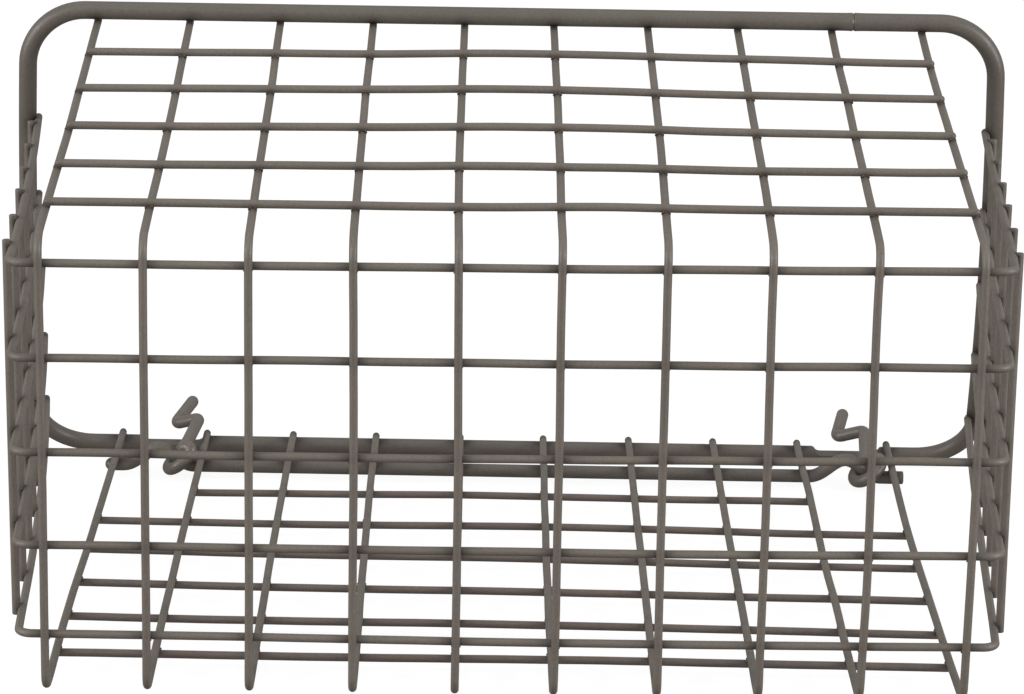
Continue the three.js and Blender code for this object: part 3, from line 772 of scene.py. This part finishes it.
# ------------------------------------------------------------------------------------------------------------
# Welds
# ------------------------------------------------------------------------------------------------------------
def weld_group(name, pairs):
    verts, faces = [], []
    for _, a, _, b, size, reach, inner in pairs:
        v, f = weld(a[0], a[1], b[0], b[1], size, reach, inner)
        faces += [tuple(i + len(verts) for i in face) for face in f]
        verts += v
    o = new_object(name, np.array(verts), faces, WELD_COAT_AND_SHADE)
    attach(o, "basket")
    PIECES.append(o)


for name, pairs in WELDS.items():
    weld_group(name, pairs)

# How near each point of a piece is to a weld: the mask of the weld paint and painted shade.
tree = kdtree.KDTree(len(WELD_POINTS))
for i, (p, _, _, _) in enumerate(WELD_POINTS):
    tree.insert((p + SHIFT) / 1000, i)
tree.balance()
for o in PIECES:
    values = []
    for v in o.data.vertices:
        _, i, _ = tree.find(v.co)
        p, n, reach, flat = WELD_POINTS[i]
        d = np.array(v.co) * 1000 - SHIFT - p
        h = float(d @ n)
        values.append(min(1.0, (1.0 if flat else 2.2) * math.exp(-(float(d @ d) + flat * h * h) / reach**2)))
    o.data.attributes.new("weld", "FLOAT", "POINT").data.foreach_set("value", values)

# ------------------------------------------------------------------------------------------------------------
# Stage, light and camera
# ------------------------------------------------------------------------------------------------------------
def stage_material():
    m = bpy.data.materials.new("floor")
    m.use_nodes = True
    p = m.node_tree.nodes["Principled BSDF"]
    p.inputs["Base Color"].default_value = (0.16, 0.16, 0.16, 1)
    p.inputs["Roughness"].default_value = 0.9
    p.inputs["Specular IOR Level"].default_value = 0.1
    p.inputs["Emission Color"].default_value = (1, 1, 1, 1)
    p.inputs["Emission Strength"].default_value = 0.9
    return m


mesh = bpy.data.meshes.new("floor")
r = 30.0
mesh.from_pydata([(-r, -r, -0.0004), (r, -r, -0.0004), (r, r, -0.0004), (-r, r, -0.0004)], [], [(0, 1, 2, 3)])
floor = bpy.data.objects.new("floor", mesh)
mesh.materials.append(stage_material())
bpy.context.scene.collection.objects.link(floor)
floor.visible_diffuse = False
floor.visible_glossy = False

world = bpy.data.worlds.new("studio")
bpy.context.scene.world = world
world.use_nodes = True
t = world.node_tree
t.nodes.clear()
out = t.nodes.new("ShaderNodeOutputWorld")
show, give = t.nodes.new("ShaderNodeBackground"), t.nodes.new("ShaderNodeBackground")
show.inputs["Color"].default_value = (1, 1, 1, 1)
where = t.nodes.new("ShaderNodeTexCoord")
split = t.nodes.new("ShaderNodeSeparateXYZ")
t.links.new(where.outputs["Generated"], split.inputs["Vector"])
ramp = t.nodes.new("ShaderNodeValToRGB")
lift = t.nodes.new("ShaderNodeMapRange")
lift.inputs["From Min"].default_value = -1
t.links.new(split.outputs["Z"], lift.inputs["Value"])
t.links.new(lift.outputs["Result"], ramp.inputs["Fac"])
ramp.color_ramp.elements[0].position = 0.32
ramp.color_ramp.elements[0].color = (0.235, 0.22, 0.207, 1)
ramp.color_ramp.elements[1].position = 0.75
ramp.color_ramp.elements[1].color = (0.47, 0.47, 0.47, 1)
t.links.new(ramp.outputs["Color"], give.inputs["Color"])
path = t.nodes.new("ShaderNodeLightPath")
both = t.nodes.new("ShaderNodeMixShader")
t.links.new(path.outputs["Is Camera Ray"], both.inputs["Fac"])
t.links.new(give.outputs["Background"], both.inputs[1])
t.links.new(show.outputs["Background"], both.inputs[2])
t.links.new(both.outputs["Shader"], out.inputs["Surface"])


def softbox(name, place, aim, size, power, colour=(1, 1, 1)):
    data = bpy.data.lights.new(name, "AREA")
    data.shape = "RECTANGLE"
    data.size, data.size_y = size
    data.energy = power
    data.color = colour
    o = bpy.data.objects.new(name, data)
    o.location = place
    o.rotation_mode = "QUATERNION"
    o.rotation_quaternion = (Vector(aim) - Vector(place)).to_track_quat("-Z", "Y")
    o.visible_camera = False
    bpy.context.scene.collection.objects.link(o)


softbox("overhead", (0.0, 0.15, 1.7), (0, 0, 0.05), (1.8, 1.3), 3.9)
softbox("left", (-1.4, -0.7, 0.5), (0, 0, 0.07), (0.9, 0.9), 17.0)
softbox("right", (1.4, -0.7, 0.5), (0, 0, 0.07), (0.6, 0.8), 17.0)
softbox("glint", (-0.55, -1.25, 1.25), (0, 0, 0.07), (0.16, 0.16), 2.4)

# The camera, from the photograph: pitch, yaw and roll with the long lens that fits it.
PITCH_A, YAW_A, ROLL_A, FOCAL = 0.295765, -0.01085, 0.0178, 3700.0
CENTRE = np.array([-0.3483, -33.705, 13.8395]) * 25.4
cx, sx, cy, sy, cz, sz = math.cos(PITCH_A), math.sin(PITCH_A), math.cos(YAW_A), math.sin(YAW_A), math.cos(ROLL_A), math.sin(ROLL_A)
RX = np.array([[1, 0, 0], [0, cx, -sx], [0, sx, cx]])
RY = np.array([[cy, 0, sy], [0, 1, 0], [-sy, 0, cy]])
RZ = np.array([[cz, -sz, 0], [sz, cz, 0], [0, 0, 1]])
R = RZ @ RX @ RY @ np.array([[1.0, 0, 0], [0, 0, -1], [0, 1, 0]])
data = bpy.data.cameras.new("camera")
data.sensor_fit = "HORIZONTAL"
data.sensor_width = 36.0
data.lens = FOCAL / 1024 * 36.0
data.clip_start, data.clip_end = 0.05, 100.0
camera = bpy.data.objects.new("camera", data)
where = (CENTRE + SHIFT) / 1000
camera.matrix_world = Matrix(
    [[R[0][i], -R[1][i], -R[2][i], where[i]] for i in range(3)] + [[0, 0, 0, 1]]
)
bpy.context.scene.collection.objects.link(camera)
bpy.context.scene.camera = camera
bpy.context.scene.view_settings.view_transform = "Standard"
bpy.context.scene.view_settings.look = "None"
